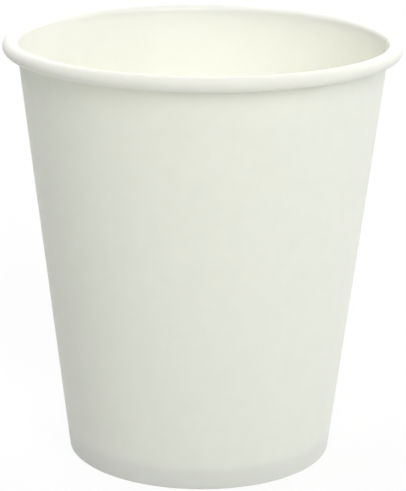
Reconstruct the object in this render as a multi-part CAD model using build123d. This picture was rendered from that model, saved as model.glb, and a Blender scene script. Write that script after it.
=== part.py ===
from build123d import *
import os
from math import asin, atan2, copysign, cos, degrees, radians, sin, tan
from typing import NamedTuple

# A paper cold cup, standing on the table with the middle of its foot at the origin and +Z up.
# One fan-shaped blank of paperboard is wrapped to a cone and sealed along a lap. Its top edge is
# rolled outward into the rim, and its bottom edge is folded in and up, round the skirt of a disc.

# Driving dimensions of the cup, in millimetres
rim_diameter = 90.0  # over the rolled rim
foot_diameter = 61.0  # outside of the wall, where its line meets the table
cup_height = 97.0  # from the table to the top of the rim

# Board of the two blanks
side_board = 0.35
base_board = 0.30

# Rolled rim
bead_width = 3.5  # across the roll's round section
roll_gap = 0.1  # between one turn of the roll and the next
roll_tail = 60.0  # degrees that the cut edge is tucked up inside the first turn

# Foot
recess_depth = 5.2  # from the table up to the underside of the disc
disc_edge_radius = 0.9  # outside of the bend from the disc into its skirt
fold_inside_radius = 0.05  # inside of the two bends under the skirt
seal_clearance = 0.02  # on each face of the skirt
skirt_clearance = 0.3  # from the fold up to the skirt's cut edge
hem_clearance = 0.4  # from the hem's cut edge up to the bend of the disc

# Side seam
lap_width = 7.0  # overlap of the two ends of the blank, at the middle of the wall
lap_slope_width = 1.6  # over which the outer layer climbs onto the inner one
lap_direction = 10.0  # degrees from +X towards +Y, to the middle of the overlap
lap_tuck = 0.7  # from the start of the roll down to the outer layer's end, behind the bead
seam_line_width = 0.3  # of the fine line that the inner layer's cut edge leaves inside the cup
seam_line_depth = 0.12

rim_radius = rim_diameter / 2
foot_radius = foot_diameter / 2
roll_radius = bead_width / 2


class Run(NamedTuple):
    """A straight stretch of board, in section."""

    length: float


class Bend(NamedTuple):
    """A round bend in the board, in section. A positive angle turns left."""

    radius: float
    angle: float


def along(heading):
    """Unit step in a direction of the half section, with the radius along X and height along Y."""
    return Vector(cos(radians(heading)), sin(radians(heading)))


def left_of(heading):
    """Unit step to the left of a heading."""
    return along(heading + 90)


# The wall's outer face leaves the foot circle and is tangent to the inside of the roll.
foot_corner = Vector(foot_radius, 0)
roll_centre = Vector(rim_radius - roll_radius, cup_height - roll_radius)
roll_inside_radius = roll_radius - side_board
foot_to_roll = roll_centre - foot_corner
wall_heading = degrees(
    atan2(foot_to_roll.Y, foot_to_roll.X) + asin(roll_inside_radius / foot_to_roll.length)
)
taper = 90 - wall_heading


def radius_in_wall(height, depth):
    """Radius at a height of the cone that lies a depth of board inside the wall's outer face."""
    return foot_radius + height * tan(radians(taper)) - depth / cos(radians(taper))


# Layers at the foot, from the outside in: wall, skirt of the disc, hem
skirt_depth = side_board + seal_clearance
hem_depth = skirt_depth + base_board + seal_clearance
foot_depth = hem_depth + side_board

# Heights at the foot
disc_top = recess_depth + base_board
disc_edge_height = disc_top - disc_edge_radius
hem_top = disc_edge_height - hem_clearance
skirt_end = side_board + skirt_clearance

# The fold under the foot is two bends with a narrow flat between them, on the table.
fold_radius = fold_inside_radius + side_board
foot_flat = (foot_depth - 2 * fold_radius) / cos(radians(taper))
hem_start = Vector(radius_in_wall(hem_top, foot_depth), hem_top)
hem_length = (hem_top - fold_radius * (1 + sin(radians(taper)))) / cos(radians(taper))
fold_centre = Vector(radius_in_wall(fold_radius, fold_radius), fold_radius)
wall_start = fold_centre - left_of(wall_heading) * fold_radius
wall_end = roll_centre + left_of(wall_heading) * roll_inside_radius
wall_length = (wall_end - wall_start).length


def face_line(start, heading, stretches, offset):
    """Edges of the line that follows the stretches from the start, offset to their left."""
    here = start + left_of(heading) * offset
    edges = []
    for stretch in stretches:
        if isinstance(stretch, Run):
            edge = Line(here, here + along(heading) * stretch.length)
        else:
            radius = stretch.radius - offset * copysign(1, stretch.angle)
            edge = JernArc(here, along(heading), radius, stretch.angle)
            heading += stretch.angle
        edges.append(edge)
        here = edge @ 1
    return edges


def board_section(start, heading, stretches, near, far):
    """Section of board along the stretches, between two offsets to their left, upright on +X."""
    near_face = face_line(start, heading, stretches, near)
    far_face = face_line(start, heading, stretches, far)
    start_edge = Line(near_face[0] @ 0, far_face[0] @ 0)
    end_edge = Line(near_face[-1] @ 1, far_face[-1] @ 1)
    return Plane.XZ * make_face([start_edge, *near_face, end_edge, *far_face])


def roll_bends():
    """The rim's roll: half turns that tighten by half a layer each, then the tucked cut edge."""
    half_turns = [wall_heading + 90, 180, roll_tail]
    tightening = (side_board + roll_gap) / 2
    return [Bend(roll_inside_radius - turn * tightening, -angle) for turn, angle in enumerate(half_turns)]


def wrapped_board():
    """The sidewall's board all round: hem, fold, wall and roll."""
    stretches = [
        Run(hem_length),
        Bend(fold_radius, 90 + taper),
        Run(foot_flat),
        Bend(fold_radius, 90 - taper),
        Run(wall_length),
        *roll_bends(),
    ]
    return revolve(board_section(hem_start, wall_heading - 180, stretches, 0, side_board))


# Angles of the seam about the cup's axis, from widths measured at the middle of the wall
middle_radius = radius_in_wall(cup_height / 2, 0)
lap_angle = degrees(lap_width / middle_radius)
lap_slope_angle = degrees(lap_slope_width / middle_radius)
seam_line_angle = degrees(seam_line_width / middle_radius)
lap_start = lap_direction - lap_angle / 2


def in_section(point):
    """A point of the half section, set upright on +X."""
    return Vector(point.X, 0, point.Y)


def lap_layer():
    """Outer layer of the side seam: it slopes up off the wall and ends in its own cut edge."""
    lap_run = Run(wall_length - lap_tuck)
    section = board_section(wall_start, wall_heading, [lap_run], side_board / 2, -side_board)
    layer = revolve(section, revolution_arc=lap_angle)
    low = in_section(wall_start)
    high = in_section(wall_end)
    crest = (low + high) / 2 - in_section(left_of(wall_heading)) * side_board
    crest = crest.rotate(Axis.Z, lap_slope_angle)
    slope = Plane(origin=low, x_dir=high - low, z_dir=(crest - low).cross(high - low))
    return Rot(Z=lap_start) * split(layer, bisect_by=slope, keep=Keep.BOTTOM)


def seam_line():
    """Groove left by the inner layer's cut edge, up the inside of the wall and over the rim."""
    over_rim, under_rim, _ = roll_bends()
    stretches = [Run(wall_length), over_rim, Bend(under_rim.radius, under_rim.angle / 2)]
    groove_floor = side_board - seam_line_depth
    outside_board = side_board + seam_line_depth
    section = board_section(wall_start, wall_heading, stretches, groove_floor, outside_board)
    return Rot(Z=lap_start) * revolve(section, revolution_arc=seam_line_angle)


def sidewall():
    """The fan-shaped blank as it is in the finished cup."""
    return wrapped_board() + lap_layer() - seam_line()


def bottom_disc():
    """The round blank: a raised floor with its edge turned down into a skirt, held in the foot fold."""
    edge_start = radius_in_wall(disc_edge_height, skirt_depth + disc_edge_radius)
    skirt_start = disc_edge_height - disc_edge_radius * sin(radians(taper))
    skirt_length = (skirt_start - skirt_end) / cos(radians(taper))
    stretches = [
        Run(edge_start),
        Bend(disc_edge_radius, -(90 + taper)),
        Run(skirt_length),
    ]
    return revolve(board_section(Vector(0, disc_top), 0, stretches, 0, -base_board))


os.makedirs("parts", exist_ok=True)
export_step(sidewall(), "parts/sidewall.step")
export_step(bottom_disc(), "parts/bottom_disc.step")
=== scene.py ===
from math import asin, atan2, copysign, cos, degrees, hypot, radians, sin, tan
from typing import NamedTuple

import bmesh
import bpy
from mathutils import Matrix, Vector


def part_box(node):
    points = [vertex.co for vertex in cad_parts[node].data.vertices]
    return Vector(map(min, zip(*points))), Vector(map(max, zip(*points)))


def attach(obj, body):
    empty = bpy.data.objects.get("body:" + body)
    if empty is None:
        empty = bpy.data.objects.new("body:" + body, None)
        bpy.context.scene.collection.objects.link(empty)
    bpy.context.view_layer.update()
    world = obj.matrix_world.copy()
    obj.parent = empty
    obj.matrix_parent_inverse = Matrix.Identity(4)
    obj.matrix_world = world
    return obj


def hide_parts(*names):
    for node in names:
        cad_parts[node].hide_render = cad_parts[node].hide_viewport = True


# A white paper cold cup on a white table. The wrapped sidewall and the bottom disc are each turned from
# the half section of their board, with matt board outside, a smooth lining inside and raw cut edges.
# Lengths are in metres and angles in degrees.

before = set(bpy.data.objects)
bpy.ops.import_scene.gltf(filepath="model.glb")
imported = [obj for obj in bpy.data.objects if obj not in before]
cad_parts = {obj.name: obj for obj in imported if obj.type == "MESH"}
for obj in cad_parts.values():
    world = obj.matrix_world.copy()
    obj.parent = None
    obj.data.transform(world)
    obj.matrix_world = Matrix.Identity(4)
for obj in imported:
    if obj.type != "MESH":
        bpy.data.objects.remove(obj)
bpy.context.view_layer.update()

MM = 0.001

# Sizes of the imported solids
_, side_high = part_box("sidewall")
disc_low, disc_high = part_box("bottom_disc")
rim_radius = side_high.x
cup_height = side_high.z
disc_top = disc_high.z
skirt_end = disc_low.z

# Board, rim and foot
foot_radius = 30.5 * MM  # outside of the wall, where its line meets the table
side_board = 0.35 * MM
base_board = 0.30 * MM
bead_width = 3.5 * MM  # across the roll's round section
roll_gap = 0.1 * MM  # between one turn of the roll and the next
roll_tail = 60  # turn of the cut edge, tucked up inside the first turn of the roll
disc_edge_radius = 0.9 * MM  # outside of the bend from the disc into its skirt
fold_inside_radius = 0.05 * MM  # inside of the two bends under the skirt
seal_clearance = 0.02 * MM  # on each face of the skirt
hem_clearance = 0.4 * MM  # from the hem's cut edge up to the bend of the disc

# Knurl that presses the hem onto the skirt
knurl_ribs = 96
knurl_depth = 0.12 * MM
knurl_margin = 0.18  # share of the hem over which the ribs run out, at its top and bottom

# Side seam
lap_width = 7.0 * MM  # overlap of the two ends of the blank, at the middle of the wall
lap_slope_width = 1.6 * MM  # over which the outer layer climbs onto the inner one
lap_direction = 10  # from +X towards +Y, to the middle of the overlap
lap_foot_fade = 0.6 * MM  # over which the outer layer runs out at the foot
lap_rim_fade = 1.3 * MM  # over which it runs out behind the bead
seam_line_width = 0.3 * MM  # of the fine line that the inner layer's cut edge leaves
seam_line_depth = 0.12 * MM  # up the inside of the wall
rim_line_depth = 0.05 * MM  # over the rim
rim_line_end = 0.5  # share of the roll's underside that the line covers
cut_edge_angle = 0.02  # taken up by each step of the seam

# Meshes
columns_in_rib = 4
slope_columns = 3
disc_columns = 192
weld_distance = 0.001 * MM
cut_side_facing = 0.7  # least that a face of the seam's steps looks along the way round
roll_slack = 0.01 * MM
crisp_angle = 35
OUTSIDE, INSIDE, CUT_EDGE, ROLL = range(4)  # a board's materials, in order

# Colours of the paper, and how far light spreads in it
board_white = (0.848, 0.865, 0.795)
lining_white = (0.966, 0.976, 0.866)
rim_white = (0.895, 0.90, 0.808)
edge_white = (0.80, 0.79, 0.70)
# painted shade at the foot, where less light comes through the stacked layers
foot_shade_grey = (0.976, 0.978, 0.985)
light_reach = 0.36 * MM

# Texture of the paper
cloud_size = 3.5 * MM
fibre_size = 0.22 * MM
fibre_stretch = 3
noise_low = 0.3  # most of a noise lies between these two
noise_high = 0.7
roughness_spread = 0.06
film_weight = 0.25
film_roughness = 0.3
rim_gloss = 0.2

# Table, light and camera
table_width = 6.0
table_grey = 0.70  # as the cup sees it
table_white = 0.9  # as the camera sees it, under the glow
table_glow = 0.85
lamp_distance = 2.5
lamp_size = 1.9
camera_distance = 488.6 * MM
camera_elevation = 16.86
camera_roll = 0.61
aim_height = 45 * MM
aim_right = 0.06
aim_up = 0.341
image_height = 491  # pixels
focal_pixels = 2106  # focal length, in pixels
sensor_size = 36  # millimetres, along the image's height
focal_length = sensor_size * focal_pixels / image_height


class Run(NamedTuple):
    """A straight stretch of board, in section."""

    name: str
    length: float
    steps: int


class Bend(NamedTuple):
    """A round bend in the board, in section. A positive angle turns left."""

    name: str
    radius: float
    angle: float
    steps: int


class Row(NamedTuple):
    """A ring of points round the cup, as a point of the half section on a stretch of board."""

    point: Vector
    inward: Vector  # the way through the board, from its outside to its inside
    stretch: str
    share: float  # of the stretch that lies before the point


def along(heading):
    """Unit step in a direction of the half section, with the radius along X and height along Y."""
    return Vector((cos(radians(heading)), sin(radians(heading))))


def left_of(heading):
    """Unit step to the left of a heading."""
    return along(heading + 90)


def follow(start, heading, stretches):
    """Rows of the line that follows the stretches from the start, with the board on its left."""
    here = start
    rows = [Row(here, left_of(heading), stretches[0].name, 0)]
    for stretch in stretches:
        for step in range(1, stretch.steps + 1):
            share = step / stretch.steps
            if isinstance(stretch, Run):
                facing = heading
                point = here + along(heading) * stretch.length * share
            else:
                facing = heading + stretch.angle * share
                reach = copysign(stretch.radius, stretch.angle)
                point = here + (left_of(heading) - left_of(facing)) * reach
            rows.append(Row(point, left_of(facing), stretch.name, share))
        here = point
        heading = facing
    return rows


# The wall's outer face leaves the foot circle and is tangent to the inside of the roll.
roll_radius = bead_width / 2
roll_inside_radius = roll_radius - side_board
roll_centre = Vector((rim_radius - roll_radius, cup_height - roll_radius))
foot_to_roll = roll_centre - Vector((foot_radius, 0))
wall_heading = degrees(
    atan2(foot_to_roll.y, foot_to_roll.x) + asin(roll_inside_radius / foot_to_roll.length)
)
taper = 90 - wall_heading
wall_end = roll_centre + left_of(wall_heading) * roll_inside_radius


def radius_in_wall(height, depth):
    """Radius at a height of the cone that lies a depth of board inside the wall's outer face."""
    return foot_radius + height * tan(radians(taper)) - depth / cos(radians(taper))


def degrees_round(width):
    """Angle about the axis of a width that is measured at the middle of the wall."""
    return degrees(width / radius_in_wall(cup_height / 2, 0))


# Layers at the foot, from the outside in: wall, skirt of the disc, hem
skirt_depth = side_board + seal_clearance
foot_depth = skirt_depth + base_board + seal_clearance + side_board
disc_edge_height = disc_top - disc_edge_radius
hem_top = disc_edge_height - hem_clearance

# Seam, from where its outer layer starts to slope up to that layer's cut edge
lap_angle = degrees_round(lap_width)
lap_start = lap_direction - lap_angle / 2
lap_slope_angle = degrees_round(lap_slope_width)
seam_line_angle = degrees_round(seam_line_width)


def roll_bends():
    """The rim's roll: half turns that tighten by half a layer each, then the tucked cut edge."""
    tightening = (side_board + roll_gap) / 2
    return [
        Bend("over rim", roll_inside_radius, -(wall_heading + 90), steps=20),
        Bend("under rim", roll_inside_radius - tightening, -180, steps=18),
        Bend("tail", roll_inside_radius - 2 * tightening, -roll_tail, steps=5),
    ]


def sidewall_rows():
    """Section of the sidewall, from the hem's cut edge round the foot and up to the end of the roll."""
    fold_radius = fold_inside_radius + side_board
    hem_start = Vector((radius_in_wall(hem_top, foot_depth), hem_top))
    hem_length = (hem_top - fold_radius * (1 + sin(radians(taper)))) / cos(radians(taper))
    foot_flat = (foot_depth - 2 * fold_radius) / cos(radians(taper))
    fold_centre = Vector((radius_in_wall(fold_radius, fold_radius), fold_radius))
    wall_start = fold_centre - left_of(wall_heading) * fold_radius
    wall_length = (wall_end - wall_start).length
    stretches = [
        Run("hem", hem_length, steps=10),
        Bend("fold", fold_radius, 90 + taper, steps=5),
        Run("foot", foot_flat, steps=1),
        Bend("fold", fold_radius, 90 - taper, steps=5),
        Run("wall foot", lap_foot_fade, steps=2),
        Run("wall", wall_length - lap_foot_fade - lap_rim_fade, steps=14),
        Run("wall top", lap_rim_fade, steps=3),
        *roll_bends(),
    ]
    return follow(hem_start, wall_heading - 180, stretches)


def disc_rows():
    """Section of the bottom disc, along its underside from the axis to the skirt's cut edge."""
    edge_start = radius_in_wall(disc_edge_height, skirt_depth + disc_edge_radius)
    skirt_start = disc_edge_height - disc_edge_radius * sin(radians(taper))
    skirt_length = (skirt_start - skirt_end) / cos(radians(taper))
    stretches = [
        Run("disc", edge_start, steps=8),
        Bend("disc edge", disc_edge_radius - base_board, -(90 + taper), steps=8),
        Run("skirt", skirt_length, steps=3),
    ]
    return follow(Vector((0, disc_top - base_board)), 0, stretches)


def lap_rise(row, angle):
    """How far the seam's outer layer stands off the wall."""
    turned = (angle - lap_start) % 360
    if turned >= lap_angle:
        return 0
    fade = {"wall foot": row.share, "wall": 1, "wall top": 1 - row.share}.get(row.stretch, 0)
    return side_board * fade * min(turned / lap_slope_angle, 1)


def knurl(row, angle):
    """How deep the pressing wheel's ribs go into the hem."""
    if row.stretch != "hem":
        return 0
    ends = min(row.share, 1 - row.share) / knurl_margin
    return knurl_depth * min(ends, 1) * (1 - cos(radians(angle * knurl_ribs))) / 2


def seam_line(row, angle):
    """How deep the inner layer's cut edge shows inside the cup and, pressed flatter, over the rim."""
    turned = (angle - lap_start) % 360
    if not cut_edge_angle / 2 < turned < seam_line_angle - cut_edge_angle / 2:
        return 0
    if row.stretch in ("wall foot", "wall", "wall top"):
        return seam_line_depth
    over_rim = row.stretch == "over rim"
    under_rim = row.stretch == "under rim" and row.share <= rim_line_end
    return rim_line_depth if over_rim or under_rim else 0


def outside_of_sidewall(row, angle):
    """Depth of the sidewall's outside face at a row and an angle."""
    return knurl(row, angle) - lap_rise(row, angle)


def inside_of_sidewall(row, angle):
    """Depth of the sidewall's inside face at a row and an angle."""
    return side_board - seam_line(row, angle)


def even_face(depth):
    """A face that lies at the same depth all over its board."""
    return lambda row, angle: depth


def even_columns(count):
    """Angles of a number of columns, evenly all round."""
    return [360 * column / count for column in range(count)]


def sidewall_columns():
    """Angles of the sidewall's columns: even all round, with more at the seam's edges."""
    even = even_columns(knurl_ribs * columns_in_rib)
    slope = [lap_start + lap_slope_angle * column / slope_columns for column in range(slope_columns + 1)]
    lap_end = lap_start + lap_angle
    line_end = lap_start + seam_line_angle
    steps = [lap_start, line_end - cut_edge_angle, lap_end - cut_edge_angle]
    edges = slope + steps + [step + cut_edge_angle for step in steps]
    return sorted(set(angle % 360 for angle in even + edges))


def turned_board(name, rows, columns, outside, inside):
    """Mesh of a board turned about the axis, from the depths of its outside and inside faces."""
    vertices = []
    for depth in (outside, inside):
        for row in rows:
            for angle in columns:
                radius, height = row.point + row.inward * depth(row, angle)
                vertices.append((radius * cos(radians(angle)), radius * sin(radians(angle)), height))
    faces = {OUTSIDE: [], INSIDE: [], CUT_EDGE: []}
    last = len(rows) - 1
    open_ends = [row for row in (0, last) if rows[row].point.x > 0]

    def corner(side, row, column):
        return (side * len(rows) + row) * len(columns) + column % len(columns)

    for column in range(len(columns)):
        for row in range(last):
            for side in (OUTSIDE, INSIDE):
                low = [corner(side, row, column), corner(side, row, column + 1)]
                high = [corner(side, row + 1, column + 1), corner(side, row + 1, column)]
                faces[side].append(low + high if side == OUTSIDE else high[::-1] + low[::-1])
        for row in open_ends:
            near = [corner(OUTSIDE, row, column), corner(OUTSIDE, row, column + 1)]
            far = [corner(INSIDE, row, column + 1), corner(INSIDE, row, column)]
            faces[CUT_EDGE].append(near + far if row == last else far[::-1] + near[::-1])
    mesh = bpy.data.meshes.new(name)
    mesh.from_pydata(vertices, [], [face for kind in faces for face in faces[kind]])
    mesh.polygons.foreach_set("material_index", [kind for kind in faces for _ in faces[kind]])
    return mesh


def weld_axis(mesh):
    """Joins the points of a ring that lies on the axis."""
    shape = bmesh.new()
    shape.from_mesh(mesh)
    on_axis = [vertex for vertex in shape.verts if vertex.co.xy.length < weld_distance]
    bmesh.ops.remove_doubles(shape, verts=on_axis, dist=weld_distance)
    shape.to_mesh(mesh)
    shape.free()


def mark_cut_sides(mesh):
    """Gives the cut edge's material to faces that look along the way round, at the seam."""
    for polygon in mesh.polygons:
        way_round = Vector((-polygon.center.y, polygon.center.x, 0)).normalized()
        if abs(polygon.normal.dot(way_round)) > cut_side_facing:
            polygon.material_index = CUT_EDGE


def mark_roll(mesh):
    """Gives the rim's material to the lining's faces past the crest of the roll."""
    for polygon in mesh.polygons:
        x, y, z = polygon.center
        from_centre = Vector((hypot(x, y), z)) - roll_centre
        on_roll = from_centre.length < roll_radius + roll_slack and from_centre.x > 0
        if polygon.material_index == INSIDE and on_roll:
            polygon.material_index = ROLL


def smooth_faces(mesh):
    """Shades the board smooth, with its cut edges kept crisp."""
    mesh.polygons.foreach_set("use_smooth", [True] * len(mesh.polygons))
    mesh.set_sharp_from_angle(angle=radians(crisp_angle))


def add_piece(mesh, node, materials):
    """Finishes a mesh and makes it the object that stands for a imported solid."""
    weld_axis(mesh)
    mark_cut_sides(mesh)
    smooth_faces(mesh)
    for material in materials:
        mesh.materials.append(material)
    piece = bpy.data.objects.new(mesh.name, mesh)
    bpy.context.scene.collection.objects.link(piece)
    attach(piece, "root")
    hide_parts(node)


# Materials


def new_material(name):
    """A node material, its tree and its shader."""
    material = bpy.data.materials.new(name)
    material.use_nodes = True
    tree = material.node_tree
    return material, tree, tree.nodes["Principled BSDF"]


def noise(tree, feature, stretch=1, detail=3):
    """Noise with marks of about a feature's size, drawn out along the cup's height by a stretch."""
    place = tree.nodes.new("ShaderNodeTexCoord")
    spread = tree.nodes.new("ShaderNodeMapping")
    spread.inputs["Scale"].default_value = (1 / feature, 1 / feature, 1 / feature / stretch)
    pattern = tree.nodes.new("ShaderNodeTexNoise")
    pattern.inputs["Scale"].default_value = 1
    pattern.inputs["Detail"].default_value = detail
    tree.links.new(place.outputs["Object"], spread.inputs["Vector"])
    tree.links.new(spread.outputs["Vector"], pattern.inputs["Vector"])
    return pattern.outputs["Fac"]


def between(tree, share, low, high):
    """A number that goes from low to high with a noise."""
    node = tree.nodes.new("ShaderNodeMapRange")
    node.inputs["From Min"].default_value = noise_low
    node.inputs["From Max"].default_value = noise_high
    node.inputs["To Min"].default_value = low
    node.inputs["To Max"].default_value = high
    tree.links.new(share, node.inputs["Value"])
    return node.outputs["Result"]


def tinted(tree, share, dark, light):
    """A colour between two others, by a noise."""
    node = tree.nodes.new("ShaderNodeMix")
    node.data_type = "RGBA"
    node.inputs["A"].default_value = (*dark, 1)
    node.inputs["B"].default_value = (*light, 1)
    tree.links.new(between(tree, share, 0, 1), node.inputs["Factor"])
    return node.outputs["Result"]


def bumped(tree, height, depth, under=None):
    """Normal of a surface with a noise as its relief, over another relief."""
    node = tree.nodes.new("ShaderNodeBump")
    node.inputs["Distance"].default_value = depth
    tree.links.new(height, node.inputs["Height"])
    if under:
        tree.links.new(under, node.inputs["Normal"])
    return node.outputs["Normal"]


def board_material(name, colour, mottling, roughness, fibre_depth, cloud_depth):
    """Paperboard: cloudy where its pulp lies thicker, with fine fibres drawn out along the grain."""
    material, tree, shader = new_material(name)
    cloud = noise(tree, cloud_size)
    fibre = noise(tree, fibre_size, stretch=fibre_stretch, detail=4)
    dark = [channel * (1 - mottling) for channel in colour]
    tree.links.new(tinted(tree, cloud, dark, colour), shader.inputs["Base Color"])
    rough = between(tree, fibre, roughness - roughness_spread, roughness + roughness_spread)
    tree.links.new(rough, shader.inputs["Roughness"])
    clouds = bumped(tree, cloud, cloud_depth)
    tree.links.new(bumped(tree, fibre, fibre_depth, clouds), shader.inputs["Normal"])
    shader.inputs["Subsurface Weight"].default_value = 1
    shader.inputs["Subsurface Radius"].default_value = (1, 1, 1)
    shader.inputs["Subsurface Scale"].default_value = light_reach
    return material


def paint_foot_shade(tree, shader):
    """Paints shade on a board: its colour is multiplied by a grey below the hem's top, fading out by the
    disc's top, where the foot's stacked layers let less light through.
    """
    place = tree.nodes.new("ShaderNodeTexCoord")
    parts = tree.nodes.new("ShaderNodeSeparateXYZ")
    tree.links.new(place.outputs["Object"], parts.inputs["Vector"])
    # painted shade: full below the hem's top, gone above the disc's top
    shade_share = tree.nodes.new("ShaderNodeMapRange")
    shade_share.interpolation_type = "SMOOTHSTEP"
    shade_share.inputs["From Min"].default_value = disc_top
    shade_share.inputs["From Max"].default_value = hem_top
    tree.links.new(parts.outputs["Z"], shade_share.inputs["Value"])
    shaded_colour = tree.nodes.new("ShaderNodeMix")
    shaded_colour.data_type = "RGBA"
    shaded_colour.blend_type = "MULTIPLY"
    shaded_colour.inputs["B"].default_value = (*foot_shade_grey, 1)
    tree.links.new(shade_share.outputs["Result"], shaded_colour.inputs["Factor"])
    tree.links.new(shader.inputs["Base Color"].links[0].from_socket, shaded_colour.inputs["A"])
    tree.links.new(shaded_colour.outputs["Result"], shader.inputs["Base Color"])


def matt_board():
    """Outside of the cup: uncoated and matt, with painted shade at the foot."""
    material = board_material(
        "matt_board",
        board_white,
        mottling=0.018,
        roughness=0.62,
        fibre_depth=0.006 * MM,
        cloud_depth=0.012 * MM,
    )
    tree = material.node_tree
    paint_foot_shade(tree, tree.nodes["Principled BSDF"])
    return material


def lined_board():
    """Inside of the cup: a thin smooth film over the board."""
    material = board_material(
        "lined_board",
        lining_white,
        mottling=0.012,
        roughness=0.42,
        fibre_depth=0.002 * MM,
        cloud_depth=0.008 * MM,
    )
    shader = material.node_tree.nodes["Principled BSDF"]
    shader.inputs["Coat Weight"].default_value = film_weight
    shader.inputs["Coat Roughness"].default_value = film_roughness
    return material


def rolled_lining():
    """Rim: where the lining is rolled outward, a darker, greyer white than the rest of the lining, with
    less gloss.
    """
    material = board_material(
        "rolled_lining",
        rim_white,
        mottling=0.012,
        roughness=0.5,
        fibre_depth=0.003 * MM,
        cloud_depth=0.008 * MM,
    )
    shader = material.node_tree.nodes["Principled BSDF"]
    shader.inputs["Specular IOR Level"].default_value = rim_gloss
    return material


def raw_edge():
    """Cut edge: the open fibres of the board's core."""
    return board_material(
        "raw_edge",
        edge_white,
        mottling=0.08,
        roughness=0.9,
        fibre_depth=0.02 * MM,
        cloud_depth=0.03 * MM,
    )


def build_cup():
    """The two boards of the cup."""
    matt, lined, raw = matt_board(), lined_board(), raw_edge()
    side = turned_board(
        "cup_sidewall", sidewall_rows(), sidewall_columns(), outside_of_sidewall, inside_of_sidewall
    )
    mark_roll(side)
    add_piece(side, "sidewall", [matt, lined, raw, rolled_lining()])
    disc = turned_board(
        "cup_bottom_disc", disc_rows(), even_columns(disc_columns), even_face(0), even_face(base_board)
    )
    add_piece(disc, "bottom_disc", [matt, lined, raw])


# Table, light and camera


def room_rays(tree):
    """One for the rays that show the room: the camera's, and those in a gloss or a clear piece."""
    rays = tree.nodes.new("ShaderNodeLightPath")
    shown = rays.outputs["Is Camera Ray"]
    for kind in ("Is Glossy Ray", "Is Transmission Ray"):
        either = tree.nodes.new("ShaderNodeMath")
        either.operation = "MAXIMUM"
        tree.links.new(shown, either.inputs[0])
        tree.links.new(rays.outputs[kind], either.inputs[1])
        shown = either.outputs["Value"]
    return shown


def table_material():
    """White with a glow to the camera, which leaves the cup's shadow, and a plain grey to the cup."""
    material, tree, shader = new_material("table_white")
    shader.inputs["Base Color"].default_value = (table_grey, table_grey, table_grey, 1)
    shader.inputs["Roughness"].default_value = 1
    white = tree.nodes.new("ShaderNodeBsdfDiffuse")
    white.inputs["Color"].default_value = (table_white, table_white, table_white, 1)
    glow = tree.nodes.new("ShaderNodeEmission")
    shown = tree.nodes.new("ShaderNodeMixShader")
    shown.inputs["Fac"].default_value = table_glow
    mix = tree.nodes.new("ShaderNodeMixShader")
    tree.links.new(white.outputs["BSDF"], shown.inputs[1])
    tree.links.new(glow.outputs["Emission"], shown.inputs[2])
    tree.links.new(room_rays(tree), mix.inputs["Fac"])
    tree.links.new(shader.outputs["BSDF"], mix.inputs[1])
    tree.links.new(shown.outputs["Shader"], mix.inputs[2])
    tree.links.new(mix.outputs["Shader"], tree.nodes["Material Output"].inputs["Surface"])
    return material


def build_table():
    """A wide white table under the cup."""
    reach = table_width / 2
    corners = [(-reach, -reach, 0), (reach, -reach, 0), (reach, reach, 0), (-reach, reach, 0)]
    mesh = bpy.data.meshes.new("table")
    mesh.from_pydata(corners, [], [(0, 1, 2, 3)])
    mesh.materials.append(table_material())
    table = bpy.data.objects.new("table", mesh)
    bpy.context.scene.collection.objects.link(table)


def softbox(name, azimuth, elevation, watts):
    """A square lamp aimed at the cup. Its azimuth is to the right of the camera's side."""
    lamp = bpy.data.lights.new(name, "AREA")
    lamp.energy = watts
    lamp.size = lamp_size
    turn, lift = radians(azimuth), radians(elevation)
    away = Vector((sin(turn) * cos(lift), -cos(turn) * cos(lift), sin(lift)))
    lamp_object = bpy.data.objects.new(name, lamp)
    lamp_object.location = Vector((0, 0, cup_height / 2)) + away * lamp_distance
    lamp_object.rotation_euler = away.to_track_quat("Z", "Y").to_euler()
    bpy.context.scene.collection.objects.link(lamp_object)


def build_light():
    """A white room, dark to the cup, with soft lamps round it."""
    world = bpy.data.worlds.new("white_room")
    bpy.context.scene.world = world
    world.use_nodes = True
    tree = world.node_tree
    room = tree.nodes["Background"]
    room.inputs["Color"].default_value = (1, 1, 1, 1)
    tree.links.new(room_rays(tree), room.inputs["Strength"])
    softbox("front_light", azimuth=14, elevation=37, watts=43)
    softbox("right_light", azimuth=95, elevation=10, watts=19)
    softbox("back_right_light", azimuth=140, elevation=30, watts=30)
    softbox("back_left_light", azimuth=-155, elevation=35, watts=24)
    softbox("top_left_light", azimuth=-90, elevation=67, watts=25)


def build_camera():
    """The camera of the photograph."""
    camera = bpy.data.cameras.new("camera")
    camera.lens = focal_length
    camera.sensor_width = sensor_size
    lift = radians(camera_elevation)
    place = Vector((0, -camera_distance * cos(lift), aim_height + camera_distance * sin(lift)))
    camera_object = bpy.data.objects.new("camera", camera)
    camera_object.matrix_world = (
        Matrix.Translation(place)
        @ Matrix.Rotation(radians(-aim_right), 4, "Z")
        @ Matrix.Rotation(radians(90 - camera_elevation + aim_up), 4, "X")
        @ Matrix.Rotation(radians(camera_roll), 4, "Z")
    )
    bpy.context.scene.collection.objects.link(camera_object)
    bpy.context.scene.camera = camera_object


build_cup()
build_table()
build_light()
build_camera()
bpy.context.scene.view_settings.view_transform = "Standard"
